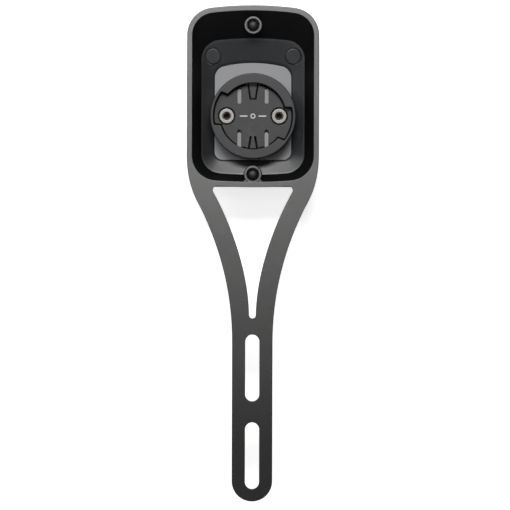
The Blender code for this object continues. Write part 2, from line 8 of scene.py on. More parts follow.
import bmesh
import bpy
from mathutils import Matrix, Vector


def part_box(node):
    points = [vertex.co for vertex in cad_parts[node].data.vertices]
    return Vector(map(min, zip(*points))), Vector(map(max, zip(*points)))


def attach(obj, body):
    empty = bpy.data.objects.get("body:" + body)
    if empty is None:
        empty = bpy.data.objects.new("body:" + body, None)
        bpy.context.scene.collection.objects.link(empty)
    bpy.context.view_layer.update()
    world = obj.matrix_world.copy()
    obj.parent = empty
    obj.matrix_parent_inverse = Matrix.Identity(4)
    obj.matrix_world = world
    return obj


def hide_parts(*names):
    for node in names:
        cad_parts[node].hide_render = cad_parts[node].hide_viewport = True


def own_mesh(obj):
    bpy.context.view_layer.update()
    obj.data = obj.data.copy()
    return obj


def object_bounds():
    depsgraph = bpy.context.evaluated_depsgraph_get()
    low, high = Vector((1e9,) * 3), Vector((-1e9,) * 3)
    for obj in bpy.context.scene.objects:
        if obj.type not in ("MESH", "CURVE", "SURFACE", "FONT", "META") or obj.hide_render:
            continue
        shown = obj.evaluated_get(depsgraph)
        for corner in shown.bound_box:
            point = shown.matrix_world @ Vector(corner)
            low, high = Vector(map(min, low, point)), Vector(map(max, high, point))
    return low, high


MM = 0.001
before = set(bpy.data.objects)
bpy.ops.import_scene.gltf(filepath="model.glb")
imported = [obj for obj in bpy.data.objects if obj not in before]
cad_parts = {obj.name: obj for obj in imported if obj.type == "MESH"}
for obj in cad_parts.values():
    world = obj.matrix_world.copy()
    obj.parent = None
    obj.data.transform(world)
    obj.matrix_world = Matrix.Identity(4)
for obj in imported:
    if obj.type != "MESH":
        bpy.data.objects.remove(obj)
cad_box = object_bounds()


def low(node):
    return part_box(node)[0] / MM


def high(node):
    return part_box(node)[1] / MM


def heights(node):
    return low(node).z, high(node).z


def centre_of(node):
    middle = (low(node) + high(node)) / 2
    return (middle.x, middle.y)


def radius_of(node):
    return (high(node).x - low(node).x) / 2


# Camera: straight down on the plate's top face, from far away
VIEW_WIDTH = 196.35
VIEW_DISTANCE = 3000.0
VIEW_CENTRE = (0.94, 60.4)
VIEW_ROLL = 0.0029  # radians
SENSOR = 36.0

# Surroundings: glow at these two heights, as the sine of the angle above the horizon
WORLD_HEIGHTS = (0.35, 0.8)
WORLD_GLOW = (0.45, 0.02)
FLOOR_GLOW = 0.7
FLOOR_HALF = 30.0  # metres
FLOOR_GAP = 0.0002  # metres below the lowest point

# Lights as location, target and size in metres, and power in watts
LIGHTS = {
    "key": ((-0.015, 0.39, 0.56), (0.0, 0.11, 0.0), (0.3, 0.13), 3.0),
    "top": ((-0.02, 0.12, 0.36), (-0.02, 0.12, 0.0), (0.08, 0.08), 0.105),
    "left": ((-0.36, 0.34, 0.5), (0.0, 0.11, 0.0), (0.2, 0.2), 0.6),
}

# Bracket plate
PLATE_TOP = high("bracket").z
PLATE_BOTTOM = 0.4
BRACKET_FOOT = low("bracket").z
TANG_HALF_WIDTH = 7.8
TANG_END = low("bracket").y
SLOT_SIZE = (25.7, 5.43)
SLOT_CENTRES = (-16.9, 16.9)
ARM_START = 26.5
ARM_TURN = (19.7, 77.7)
ARM_LEAN = math.radians(25.8)
ARM_END = 98.7
ARM_HANDLES = (16.5, 19.7, 3.4, 12.0)
FORK_TIP = 36.0
FORK_TIP_RADIUS = 1.3
FORK_CORNER = (16.5, 86.9)
FORK_LEAN = math.radians(28.9)
FORK_CORNER_RADIUS = 1.5
FORK_HANDLES = (13.0, 19.0)
PLATE_EDGE = 0.2  # radius of the plate's edges, and round the rim's outside
RIM_EDGE = 0.3
RIM_EDGE_BLEND = (92.0, 104.0)  # where along Y the small radius grows into the large one

# Clamping pad under the tang
CLAMP_FRONT = 33.0
CLAMP_INSET = 0.25
CLAMP_BOTTOM = 0.0
CLAMP_SLOT_PLAY = 0.5

# Rim, as half width, rear edge, front edge, rear and front corner radius, rear and front bow (deg)
RIM_OUTER = (25.44, 86.5, 156.6, 9.0, 10.6, 0.0, 7.0)
RIM_INNER = (23.4, 88.6, 154.5, 9.6, 8.6, 4.0, 7.0)
WALL_FOOT = (19.85, 91.4, 144.1, 7.6, 7.4, 5.0, 6.0)
SKIRT_INSET = 0.7
WALL_THICKNESS = 1.0
WALL_LIP = 0.15  # bevel along the wall's foot

# Bosses
BOSSES = {"front": 148.95, "rear": 91.4}
BOSS_RADIUS = 3.35
BOSS_TOP = 3.9
BOSS_BORE = 2.6
BOSS_FLOOR = 1.0
BOSS_HOLE = 1.6
BOSS_FLARE = 0.3  # how much the bore opens towards its mouth
BOSS_WEB = (2.95, 1.1)  # half width of the web behind the rear boss, and its fillet
BOSS_WEB_TOP = 3.5
BOSS_EDGE = 0.2
BOSS_GAP = (0.35, 2.2)  # width and depth of the gap that the tray leaves round the rear boss

# Tray
TRAY_TOP = high("tray").z
TRAY_BOTTOM = low("tray").z
TRAY_TAPER = (5.0, 3.6, 12.0)  # how far each side, the rear and the front draw in towards the bottom
TAPER_POWER = 1.7
TRAY_WALL = 1.6
TRAY_EDGE = 0.25
WEB_TOP = -9.1
WEB_BOTTOM = -10.3
SPOTS = ((-15.5, 137.1), (15.5, 137.1))  # the two round flat spots in the floor's front corners
SPOT_RADIUS = 3.2
SPOT_TOP = -5.8
SPOT_GROOVE = 0.16
SPOT_EDGE = 0.5
SPOT_TILT = 0.12  # drop per millimetre towards the panel
SLOPE_CURVE = 1.05  # how much the slope flattens towards the panel
SLOPE_REACH = 0.985  # the share of the way to the panel's pocket that the slope covers
REAR_PILLAR = (0.0, 96.5)
REAR_PILLAR_RADIUS = 3.2
COVER_SCREW_HOLE = 1.3
SCREW_HOLE_END = -14.5
INSERT_HOLE = 2.3
BUSH_HOLE = 3.6
BUSH_BORE = 2.7

# How far a cutter reaches past the surface that it opens
PAST = 1.0

# Brass inserts
INSERT_BORE = 1.55
INSERT_TEETH = 24
INSERT_GROOVE = 0.12  # how far the plain bands lie below the knurled one
INSERT_CHAMFER = 0.3
KNURL_DEPTH = 0.14

# Stage
CENTRE = centre_of("receiver")
PANEL = (14.8, 97.1, 134.6, 3.0, 4.6, 0.0, 13.0)
PANEL_TOP = -7.0
PANEL_BOTTOM = low("stage_plate").z
PANEL_EDGE = 0.14
POCKET_GROW = 0.1
GUIDE_X = centre_of("right_receiver_screw")[0]
GUIDES = {"left": (-GUIDE_X, CENTRE[1]), "right": (GUIDE_X, CENTRE[1])}
SCREW_HOLE = 1.8
BAR_RADIUS = 6.5
BAR_EDGE = 0.3
NUT_FLATS = 5.5

# Bottom cover
COVER_BOTTOM = low("bottom_cover").z
COVER_TOP = high("bottom_cover").z
COVER_PLAY = 0.1
COVER_EDGE = 0.9
COVER_HEAD_FLOOR = -22.0
COVER_HEAD_HOLE = 2.3
PUSH_HOLE = 6.9
PUSH_HOLE_EDGE = 0.4

# Boss screws and cover screws
BOSS_SCREW = (1.25, 1.8, 1.3)  # radius of the shank, and height of the head and of its dome
COVER_SCREWS = ("left", "right", "rear")
COVER_THREAD = (1.0, 0.82, 0.5)  # radius at the crest and at the root, and pitch
CROSS_HALF = (1.15, 0.21)  # half length and half width of the drive recess
CROSS_DEPTH = 0.42

# Receiver
RING_RADIUS = 16.5
RING_TOP = high("receiver").z
RING_EDGE = 0.45
LIP_RADIUS = 12.9
LIP_BOTTOM = -0.6
LIP_EDGE = 0.13
UNDERCUT_RADIUS = 15.1
ENTRY_RADIUS = 15.45
ENTRY_SECTORS = ((-37.5, 12.5), (142.5, 192.5))
FLANK = 4.0  # degrees that each end of an entry takes to open
SOCKET_FLOOR = -2.4
SOCKET_FOOT = -4.0
SOCKET_SPREAD = 15.8  # how far the floor reaches into the ring
FLOOR_EDGE = 0.1
SKIRT_RADIUS = 14.9
SKIRT_FOOT = -5.9
HEAD_POCKET = (3.4, -5.8)  # radius and floor of the pocket that a screw head sits in
PILLAR = (4.2, -6.7)  # radius and foot of the pillar round that pocket
LIGHT_SLOT = (5.25, 1.6)  # distance from the centre line, and width
LIGHT_SLOT_ENDS = {1: (4.7, 10.8), -1: (5.2, 12.2)}  # near and far end, in front and at the rear
FLOOR_GROOVE = (0.5, -3.6)  # width and floor of the groove along the lip
GROOVE_SHIFT = 0.3  # the groove is this much wider in front and narrower at the rear
END_GROOVE = (0.25, 18.0)  # it is also this much wider over this half angle at the rear tongue

# Tongues as root, free end, half width at each of these, slit beside and slit at the end
FRONT_TONGUE = (127.6, 120.85, 1.8, 0.75, 0.6, 0.5)
REAR_TONGUE = (106.3, 101.55, 0.4, 1.25, 0.85, 0.5)
TONGUE_EDGE = 0.07
# The well is a dark sheet under each tongue's slits, lined with painted shade.
WELL_FLOOR = -4.9  # floor of the well under each tongue
WELL_WALL = 0.6

# Ribs of the panel in the light slots, as place, side and end
RIBS = (("front_left", -1, 1), ("front_right", 1, 1), ("rear_left", -1, -1), ("rear_right", 1, -1))
RIB_TOP = -2.6
RIB_PLAY = 0.03
RIB_START_GAP = {1: 0.35, -1: 1.1}  # room at a rib's front end, where the slot stays dark

# Receiver screws
RECEIVER_SCREW = (1.5, 3.0)  # radius of the shank, and height of the head
HEX_CORNER_RADIUS = 1.155
HEX_DEPTH = 2.6
HEX_MOUTH = 0.6  # depth at which the cone round the socket ends

# Springs
WIRE_RADIUS = 0.3
SPRING_RADII = (3.95, 5.75)
SPRING_TURNS = 3.0
SPRING_CLOSED = 0.6  # turns that lie flat, both ends together

# Alignment mark printed on the receiver's floor
MARK_BAR = (3.0, 0.42)
MARK_RING = (0.95, 0.6)
MARK_REACH = 3.6
MARK_LIFT = 0.004
MARK_THICKNESS = 0.03


# -------- materials

def link(tree, source, output, target, socket):
    tree.links.new(source.outputs[output], target.inputs[socket])


def noise_node(tree, coordinates, size, detail):
    """Noise whose blobs are about size millimetres across."""
    node = tree.nodes.new("ShaderNodeTexNoise")
    node.inputs["Scale"].default_value = 1.0 / (size * MM)
    node.inputs["Detail"].default_value = detail
    link(tree, coordinates, "Object", node, "Vector")
    return node


def remap(tree, source, output, span, result):
    node = tree.nodes.new("ShaderNodeMapRange")
    node.inputs["From Min"].default_value, node.inputs["From Max"].default_value = span
    node.inputs["To Min"].default_value, node.inputs["To Max"].default_value = result
    link(tree, source, output, node, "Value")
    return node


def blend_colour(tree, factor, first, second):
    """Mix from the first colour to the second; either may be a node or a triple."""
    node = tree.nodes.new("ShaderNodeMix")
    node.data_type = "RGBA"
    link(tree, factor, 0, node, "Factor")
    for name, colour in (("A", first), ("B", second)):
        socket = [s for s in node.inputs if s.name == name and s.type == "RGBA"][0]
        if isinstance(colour, tuple):
            socket.default_value = (*colour, 1.0)
        else:
            tree.links.new(colour.outputs[2], socket)
    return node


def surface(name, colour, roughness, metallic=0.0, tone=0.12, cloud=14.0, grain=0.16, depth=0.012,
            rough_spread=0.06, wear=0.0, wear_colour=(0.5, 0.5, 0.5), specular=0.5, painted_shade=None):
    """Procedural finish: slow colour drift, fine grain in colour, roughness and bump, and rubbed patches.

    cloud and grain are the sizes of the slow and the fine pattern in millimetres, depth the bump's height.
    The last argument paints shade: a stretch along Y, rear to front, and the share of the colour that is
    left at its rear end.
    """
    material = bpy.data.materials.new(name)
    material.use_nodes = True
    tree = material.node_tree
    shader = tree.nodes["Principled BSDF"]
    shader.inputs["Metallic"].default_value = metallic
    shader.inputs["Specular IOR Level"].default_value = specular
    coordinates = tree.nodes.new("ShaderNodeTexCoord")
    slow = noise_node(tree, coordinates, cloud, 3.0)
    fine = noise_node(tree, coordinates, grain, 2.0)

    dark = tuple(value * (1 - tone) for value in colour)
    light = tuple(value * (1 + tone) for value in colour)
    bright = tuple(min(1.0, value * 1.4) for value in colour)
    base = blend_colour(tree, remap(tree, slow, "Fac", (0.35, 0.65), (0, 1)), dark, light)
    base = blend_colour(tree, remap(tree, fine, "Fac", (0.55, 0.75), (0, 0.35)), base, bright)
    if wear:
        scuffs = noise_node(tree, coordinates, cloud * 0.35, 6.0)
        base = blend_colour(tree, remap(tree, scuffs, "Fac", (0.60, 0.78), (0, wear)), base, wear_colour)
    # Painted shade: the colour darkens towards the rear end of the stretch, where less light reaches the
    # surface.
    if painted_shade:
        rear, front, share = painted_shade
        place = tree.nodes.new("ShaderNodeSeparateXYZ")
        link(tree, coordinates, "Object", place, "Vector")
        shaded_colour = tuple(value * share for value in colour)
        base = blend_colour(tree, remap(tree, place, "Y", (rear * MM, front * MM), (0, 1)), shaded_colour, base)
    tree.links.new(base.outputs[2], shader.inputs["Base Color"])

    span = (roughness - rough_spread, roughness + rough_spread)
    link(tree, remap(tree, fine, "Fac", (0.3, 0.7), span), 0, shader, "Roughness")
    bump = tree.nodes.new("ShaderNodeBump")
    bump.inputs["Strength"].default_value = 0.6
    bump.inputs["Distance"].default_value = depth * MM
    link(tree, fine, "Fac", bump, "Height")
    link(tree, bump, "Normal", shader, "Normal")
    return material


LOOKS = {
    # The anodised finish is painted darker towards the tang: painted shade for the light that falls off
    # there.
    "anodised_aluminium": surface(
        "anodised_finish_and_painted_shade", (0.124, 0.123, 0.122), 0.45, 1.0, tone=0.04, grain=0.14, depth=0.010,
        rough_spread=0.05, wear=0.3, wear_colour=(0.16, 0.16, 0.16), painted_shade=(-12.0, 86.0, 0.46)),
    "black_plastic": surface(
        "black_plastic_finish", (0.0103, 0.0115, 0.0136), 0.39, tone=0.10, grain=0.22, depth=0.012,
        specular=0.55, wear=0.2, wear_colour=(0.05, 0.05, 0.055)),
    "panel_plastic": surface(
        "panel_plastic_finish", (0.25, 0.251, 0.262), 0.5, tone=0.03, grain=0.2, depth=0.01),
    "receiver_plastic": surface(
        "receiver_plastic_finish", (0.0262, 0.0262, 0.0271), 0.5, tone=0.06, grain=0.2, depth=0.016,
        wear=0.25, wear_colour=(0.11, 0.11, 0.11)),
    "stainless": surface(
        "stainless_finish", (0.25, 0.237, 0.226), 0.42, 1.0, tone=0.06, cloud=3.0, grain=0.25,
        depth=0.004, wear=0.3, wear_colour=(0.45, 0.44, 0.43)),
    "black_screw": surface(
        "black_oxide_finish", (0.006, 0.006, 0.007), 0.5, tone=0.1, grain=0.12, depth=0.006,
        wear=0.2, wear_colour=(0.08, 0.08, 0.08)),
    "brass": surface("brass_finish", (0.70, 0.50, 0.22), 0.34, 1.0, tone=0.08, cloud=2.0, grain=0.2),
    "bronze": surface(
        "bronze_finish", (0.48, 0.33, 0.18), 0.5, 0.8, tone=0.15, cloud=2.0, grain=0.1, depth=0.02),
    "spring_wire": surface(
        "spring_wire_finish", (0.55, 0.55, 0.56), 0.3, 1.0, tone=0.08, cloud=2.0, grain=0.12),
    "rubber": surface("rubber_finish", (0.022, 0.022, 0.023), 0.75, tone=0.12, grain=0.3, depth=0.02),
}
# Near-black finish for the nest's wall: painted shade on what is the same anodised metal as the rim.
NEST_WALL_PAINTED_SHADE = surface(
    "nest_wall_painted_shade", (0.004, 0.004, 0.0042), 0.55, tone=0.1, grain=0.2, depth=0.01, specular=0.12)
# Near-black lining of the receiver: painted shade in its undercut, in the groove along its lip and in its
# tongue openings and wells.
PAINTED_SHADE_LINING = surface("receiver_painted_shade_lining", (0.004, 0.004, 0.004), 0.6, tone=0.1, grain=0.2, specular=0.1)
# Near-black inside of the screw sockets: painted shade in the stainless heads.
SOCKET_PAINTED_SHADE = surface("socket_painted_shade", (0.0045, 0.0035, 0.003), 0.6, tone=0.1, grain=0.2, specular=0.15)
PRINT = surface("white_print_finish", (0.62, 0.62, 0.61), 0.6, tone=0.04, grain=0.1, depth=0.004)
# The receiver's two finishes: its plastic, and the lining of painted shade.
MOULDING = (LOOKS["receiver_plastic"], PAINTED_SHADE_LINING)


# -------- outlines

def polar_point(centre, radius, angle):
    return (centre[0] + radius * math.cos(angle), centre[1] + radius * math.sin(angle))


def arc(centre, radius, start, end, steps):
    """Points on an arc from start to end, in degrees, both ends included."""
    points = []
    for step in range(steps + 1):
        angle = math.radians(start + (end - start) * step / steps)
        points.append(polar_point(centre, radius, angle))
    return points


def circle(centre, radius, steps=64):
    """Counterclockwise circle that starts at its right."""
    return arc(centre, radius, 0, 360 - 360 / steps, steps - 1)


def bezier(p0, p1, p2, p3, steps):
    """Points on a cubic curve, without its first point."""
    points = []
    for step in range(1, steps + 1):
        t = step / steps
        weights = ((1 - t) ** 3, 3 * t * (1 - t) ** 2, 3 * t * t * (1 - t), t ** 3)
        points.append(tuple(sum(w * p[axis] for w, p in zip(weights, (p0, p1, p2, p3))) for axis in (0, 1)))
    return points


def mirrored(right):
    """Close a right-hand path that starts and ends on the centre line."""
    return right + [(-x, y) for x, y in reversed(right[1:-1])]


def front_path(half_width, front, radius, bow, steps):
    """Right front corner and bowed front edge, from the side to the centre line."""
    lean = math.radians(bow)
    x_end = half_width - radius + radius * math.sin(lean)
    sag = math.tan(lean) * x_end / 2
    centre = (half_width - radius, front - sag - radius * math.cos(lean))
    path = arc(centre, radius, 0, 90 - bow, steps)
    for step in range(1, 9):
        x = x_end * (1 - step / 8)
        path.append((x, front - sag * (x / x_end) ** 2))
    return path


def rounded_outline(shape, grow=0.0):
    """Bowed rectangle, counterclockwise from the middle of its rear edge."""
    half_width, rear, front, rear_radius, front_radius, rear_bow, front_bow = shape
    half_width += grow
    rear -= grow
    front += grow
    rear_half = [(x, -y) for x, y in front_path(half_width, -rear, rear_radius + grow, rear_bow, 20)]
    front_half = front_path(half_width, front, front_radius + grow, front_bow, 20)
    return mirrored(rear_half[::-1] + front_half)


def slot_outline(centre, length, width, steps=20):
    """Round-ended slot along Y, counterclockwise."""
    reach = (length - width) / 2
    front = arc((centre[0], centre[1] + reach), width / 2, 0, 180, steps)
    rear = arc((centre[0], centre[1] - reach), width / 2, 180, 360, steps)
    return front + rear


def plate_outline():
    """Tang, arms and rim as one closed outline."""
    half, side = TANG_HALF_WIDTH, RIM_OUTER[0]
    start_handle, turn_handle_in, turn_handle_out, end_handle = ARM_HANDLES

    def on_arm(reach):
        return (ARM_TURN[0] + reach * math.sin(ARM_LEAN), ARM_TURN[1] + reach * math.cos(ARM_LEAN))

    right = arc((0, TANG_END + half), half, -90, 0, 24) + [(half, ARM_START)]
    right += bezier(right[-1], (half, ARM_START + start_handle), on_arm(-turn_handle_in), ARM_TURN, 32)
    right += bezier(ARM_TURN, on_arm(turn_handle_out), (side, ARM_END - end_handle), (side, ARM_END), 20)
    right += front_path(side, RIM_OUTER[2], RIM_OUTER[4], RIM_OUTER[6], 24)
    return mirrored(right)


def fork_outline():
    """The opening between the arms: a tall triangle with curved sides and a bowed front."""
    tip = (0, FORK_TIP + FORK_TIP_RADIUS)
    corner_x, corner_y = FORK_CORNER
    radius = FORK_CORNER_RADIUS
    tip_handle, corner_handle = FORK_HANDLES
    centre = (corner_x - 1.75 * radius, corner_y - radius)
    start = polar_point(centre, radius, -FORK_LEAN)
    back = (start[0] - corner_handle * math.sin(FORK_LEAN), start[1] - corner_handle * math.cos(FORK_LEAN))
    right = arc(tip, FORK_TIP_RADIUS, -90, 0, 10)
    right += bezier(right[-1], (FORK_TIP_RADIUS + 0.1, tip[1] + tip_handle), back, start, 32)
    right += arc(centre, radius, -math.degrees(FORK_LEAN) + 8, 88, 12)
    reach = right[-1][0]
    bow = corner_y - RIM_OUTER[1]
    right += [(reach * t, RIM_OUTER[1] + bow * t * t) for t in (0.85, 0.7, 0.55, 0.4, 0.2, 0.0)]
    return mirrored(right)


def tray_section(z, shrink=0.0):
    """Outside outline of the tray at height z, drawn in like a boat's hull towards the bottom."""
    depth = max(0.0, (TRAY_TOP - z) / (TRAY_TOP - TRAY_BOTTOM))
    taper = depth ** TAPER_POWER
    half_width, rear, front, rear_radius, front_radius, rear_bow, front_bow = RIM_OUTER
    shape = (half_width - SKIRT_INSET - TRAY_TAPER[0] * taper, rear + SKIRT_INSET + TRAY_TAPER[1] * taper,
             front - SKIRT_INSET - TRAY_TAPER[2] * taper, rear_radius, front_radius, rear_bow, front_bow)
    return rounded_outline(shape, -shrink)


def offset(points, distance):
    """Counterclockwise loop moved outwards by distance, which may be a function of a point."""
    count = len(points)
    moved = []
    for i, (x, y) in enumerate(points):
        before = Vector((x - points[i - 1][0], y - points[i - 1][1])).normalized()
        after = Vector((points[(i + 1) % count][0] - x, points[(i + 1) % count][1] - y)).normalized()
        along = (before + after).normalized()
        stretch = 1 / max(0.5, along.dot(after))
        reach = distance((x, y)) if callable(distance) else distance
        moved.append((x + reach * stretch * along.y, y - reach * stretch * along.x))
    return moved


def between(first, second, t):
    """Loop at share t of the way from the first to the second, point by point."""
    return [(ax + (bx - ax) * t, ay + (by - ay) * t) for (ax, ay), (bx, by) in zip(first, second)]


# -------- meshes

SUPPORT = 0.04  # flat strip kept beside a rounded edge, so that its face shades flat


def add_object(name, data):
    made = bpy.data.objects.new(name, data)
    bpy.context.scene.collection.objects.link(made)
    return made


def level(outline, z):
    return [(x, y, z) for x, y in outline]


def rounded_edge(outline, side, radius, z, up=1, steps=4):
    """Rings from the flat face at height z over its rounded edge to the upright wall.

    side is -1 at an outer edge and 1 at a hole's; up is 1 on a top face and -1 on an underside.
    radius is a number or a function of a point.
    """
    size = radius if callable(radius) else (lambda point: radius)
    rings = [level(offset(outline, lambda p: side * (size(p) + SUPPORT)), z)]
    for step in range(steps + 1):
        turn = math.radians(90 * step / steps)
        loop = offset(outline, lambda p: side * size(p) * (1 - math.sin(turn)))
        drop = 1 - math.cos(turn)
        rings.append([(x, y, z - up * drop * size(point)) for (x, y), point in zip(loop, outline)])
    return rings


class Shell:
    """Closed mesh of strips between rings of points and flat caps between closed rings.

    look is the number of the finish: 0 is the piece's first one and 1 its second.
    """

    def __init__(self):
        self.bm = bmesh.new()

    def strip(self, rings, look=0, closed=False):
        """Join the rings one after another, and the last to the first if closed.

        look is one number, or a function of the strip's place in the row. Returns the first and last ring.
        """
        made = [[self.bm.verts.new(point) for point in ring] for ring in rings]
        following = made[1:] + made[:1] if closed else made[1:]
        for index, (lower, upper) in enumerate(zip(made, following)):
            self.bridge(lower, upper, look(index) if callable(look) else look)
        return made[0], made[-1]

    def bridge(self, lower, upper, look=0):
        count = len(lower)
        for i in range(count):
            j = (i + 1) % count
            self.bm.faces.new((lower[i], lower[j], upper[j], upper[i])).material_index = look

    def cap(self, *loops, look=0):
        """Flat face between an outer ring and any rings inside it."""
        edges = [self.bm.edges.get((loop[i - 1], loop[i])) for loop in loops for i in range(len(loop))]
        made = bmesh.ops.triangle_fill(self.bm, use_beauty=True, edges=edges, normal=(0, 0, 1))
        for item in made["geom"]:
            if isinstance(item, bmesh.types.BMFace):
                item.material_index = look

    def object(self, name, *materials):
        """Turn the shell into an object with these finishes."""
        bmesh.ops.recalc_face_normals(self.bm, faces=self.bm.faces[:])
        bmesh.ops.scale(self.bm, vec=(MM, MM, MM), verts=self.bm.verts[:])
        mesh = bpy.data.meshes.new(name)
        self.bm.to_mesh(mesh)
        self.bm.free()
        for material in materials:
            mesh.materials.append(material)
        return add_object(name, mesh)


def ring_of(name, *rows):
    """Closed band through rows of an outline and its height."""
    shell = Shell()
    shell.strip([level(outline, z) for outline, z in rows], closed=True)
    return shell.object(name)


def slab(name, outline, bottom, top, edge, holes=(), look=0, materials=()):
    """Plate with rounded top and bottom edges, and holes with the same edges."""
    shell = Shell()
    lids, floors = [], []
    for loop, side in [(outline, -1)] + [(hole, 1) for hole in holes]:
        rings = rounded_edge(loop, side, edge, top)
        rings += rounded_edge(loop, side, edge, bottom, up=-1)[::-1]
        first, last = shell.strip(rings, look)
        lids.append(first)
        floors.append(last)
    shell.cap(*lids, look=look)
    shell.cap(*floors, look=look)
    return shell.object(name, *materials)


def lathe(name, centre, profile, steps=64):
    """Solid turned about a vertical axis; a profile point is (radius, z). Radius 0 closes an end."""
    shell = Shell()
    bm = shell.bm
    rings = []
    for radius, z in profile:
        if radius == 0:
            rings.append([bm.verts.new((*centre, z))])
        else:
            rings.append([bm.verts.new(point) for point in level(circle(centre, radius, steps), z)])
    pairs = list(zip(rings, rings[1:]))
    if len(rings[0]) > 1:
        pairs.append((rings[-1], rings[0]))
    for lower, upper in pairs:
        if len(lower) == len(upper):
            shell.bridge(lower, upper)
            continue
        tip, ring = (lower[0], upper) if len(lower) == 1 else (upper[0], lower)
        for i in range(steps):
            bm.faces.new((tip, ring[i], ring[(i + 1) % steps]))
    return shell.object(name)


def combine(piece, tool, operation):
    """Apply one Boolean of tool on piece and remove the tool."""
    modifier = piece.modifiers.new("combine", "BOOLEAN")
    modifier.operation = operation
    modifier.solver = "EXACT"
    modifier.object = tool
    graph = bpy.context.evaluated_depsgraph_get()
    result = bpy.data.meshes.new_from_object(piece.evaluated_get(graph))
    piece.modifiers.remove(modifier)
    piece.data = result
    bpy.data.objects.remove(tool)


def cut(piece, tool):
    combine(piece, tool, "DIFFERENCE")


def join(piece, tool):
    combine(piece, tool, "UNION")


def dress(piece, slot, body, *nodes, sharp_from=32.0):
    """Give a finished mesh its slot's finish, set it on its body and let it stand for its CAD nodes."""
    mesh = piece.data
    if not mesh.materials:
        mesh.materials.append(LOOKS[slot])
    mesh.shade_smooth()
    mesh.set_sharp_from_angle(angle=math.radians(sharp_from))
    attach(piece, body)
    if nodes:
        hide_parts(*nodes)


# -------- camera, light and floor

def make_camera():
    data = bpy.data.cameras.new("camera")
    data.sensor_width = SENSOR
    data.lens = SENSOR * VIEW_DISTANCE / VIEW_WIDTH
    data.clip_end = 100.0
    camera = add_object("camera", data)
    camera.location = Vector((*VIEW_CENTRE, PLATE_TOP + VIEW_DISTANCE)) * MM
    camera.rotation_euler = (0, 0, VIEW_ROLL)
    bpy.context.scene.camera = camera


def softbox(name, location, target, size, power):
    data = bpy.data.lights.new(name, "AREA")
    data.shape = "RECTANGLE"
    data.size, data.size_y = size
    data.energy = power
    light = add_object(name, data)
    light.location = location
    light.rotation_euler = (Vector(target) - light.location).to_track_quat("-Z", "Y").to_euler()
    light.visible_camera = False


def make_world():
    """Grey surroundings, dark overhead and lighter at the horizon, which the camera itself sees pale."""
    world = bpy.data.worlds.new("studio")
    bpy.context.scene.world = world
    world.use_nodes = True
    tree = world.node_tree
    dim = tree.nodes["Background"]
    dim.inputs["Color"].default_value = (1.0, 1.0, 1.0, 1.0)
    direction = tree.nodes.new("ShaderNodeTexCoord")
    height = tree.nodes.new("ShaderNodeSeparateXYZ")
    link(tree, direction, "Generated", height, "Vector")
    link(tree, remap(tree, height, "Z", WORLD_HEIGHTS, WORLD_GLOW), 0, dim, "Strength")
    pale = tree.nodes.new("ShaderNodeBackground")
    pale.inputs["Color"].default_value = (0.9, 0.9, 0.9, 1.0)
    path = tree.nodes.new("ShaderNodeLightPath")
    mix = tree.nodes.new("ShaderNodeMixShader")
    link(tree, path, "Is Camera Ray", mix, "Fac")
    tree.links.new(dim.outputs[0], mix.inputs[1])
    tree.links.new(pale.outputs[0], mix.inputs[2])
    link(tree, mix, "Shader", tree.nodes["World Output"], "Surface")


def make_floor():
    """Large pale sheet that glows a little, like a light table, just under the lowest point."""
    half = FLOOR_HALF
    z = cad_box[0].z - FLOOR_GAP
    corners = [(-half, -half, z), (half, -half, z), (half, half, z), (-half, half, z)]
    mesh = bpy.data.meshes.new("floor")
    mesh.from_pydata(corners, [], [(0, 1, 2, 3)])
    material = bpy.data.materials.new("floor_white")
    material.use_nodes = True
    shader = material.node_tree.nodes["Principled BSDF"]
    shader.inputs["Base Color"].default_value = (0.85, 0.85, 0.85, 1.0)
    shader.inputs["Roughness"].default_value = 0.9
    shader.inputs["Specular IOR Level"].default_value = 0.0
    shader.inputs["Emission Color"].default_value = (1.0, 1.0, 1.0, 1.0)
    shader.inputs["Emission Strength"].default_value = FLOOR_GLOW
    mesh.materials.append(material)
    floor = add_object("floor", mesh)


# -------- mount body
# Joined and cutting solids overlap a little, or stop a little short, so that no two faces lie in one plane.

def rim_edge(point):
    """Edge radius of the plate's outline, larger round the rim than along the arms and tang."""
    start, end = RIM_EDGE_BLEND
    t = min(1.0, max(0.0, (point[1] - start) / (end - start)))
    return PLATE_EDGE + (RIM_EDGE - PLATE_EDGE) * t * t * (3 - 2 * t)


def clamp_slots(grow=0.0):
    """Outlines of the two long slots in the tang."""
    length, width = SLOT_SIZE
    return [slot_outline((0, y), length + grow, width + grow) for y in SLOT_CENTRES]


def boss_web_outline():
    """Short neck from the rim's rear edge to the rear boss, with a round fillet on each side."""
    half, fillet = BOSS_WEB
    edge = RIM_INNER[1] + 0.1
    right = [(0, edge - 1.2), (half + fillet, edge - 1.2)]
    right += arc((half + fillet, edge + fillet), fillet, 270, 180, 10)
    right += [(half, BOSSES["rear"] - 0.2), (0, BOSSES["rear"] - 0.2)]
    return mirrored(right)


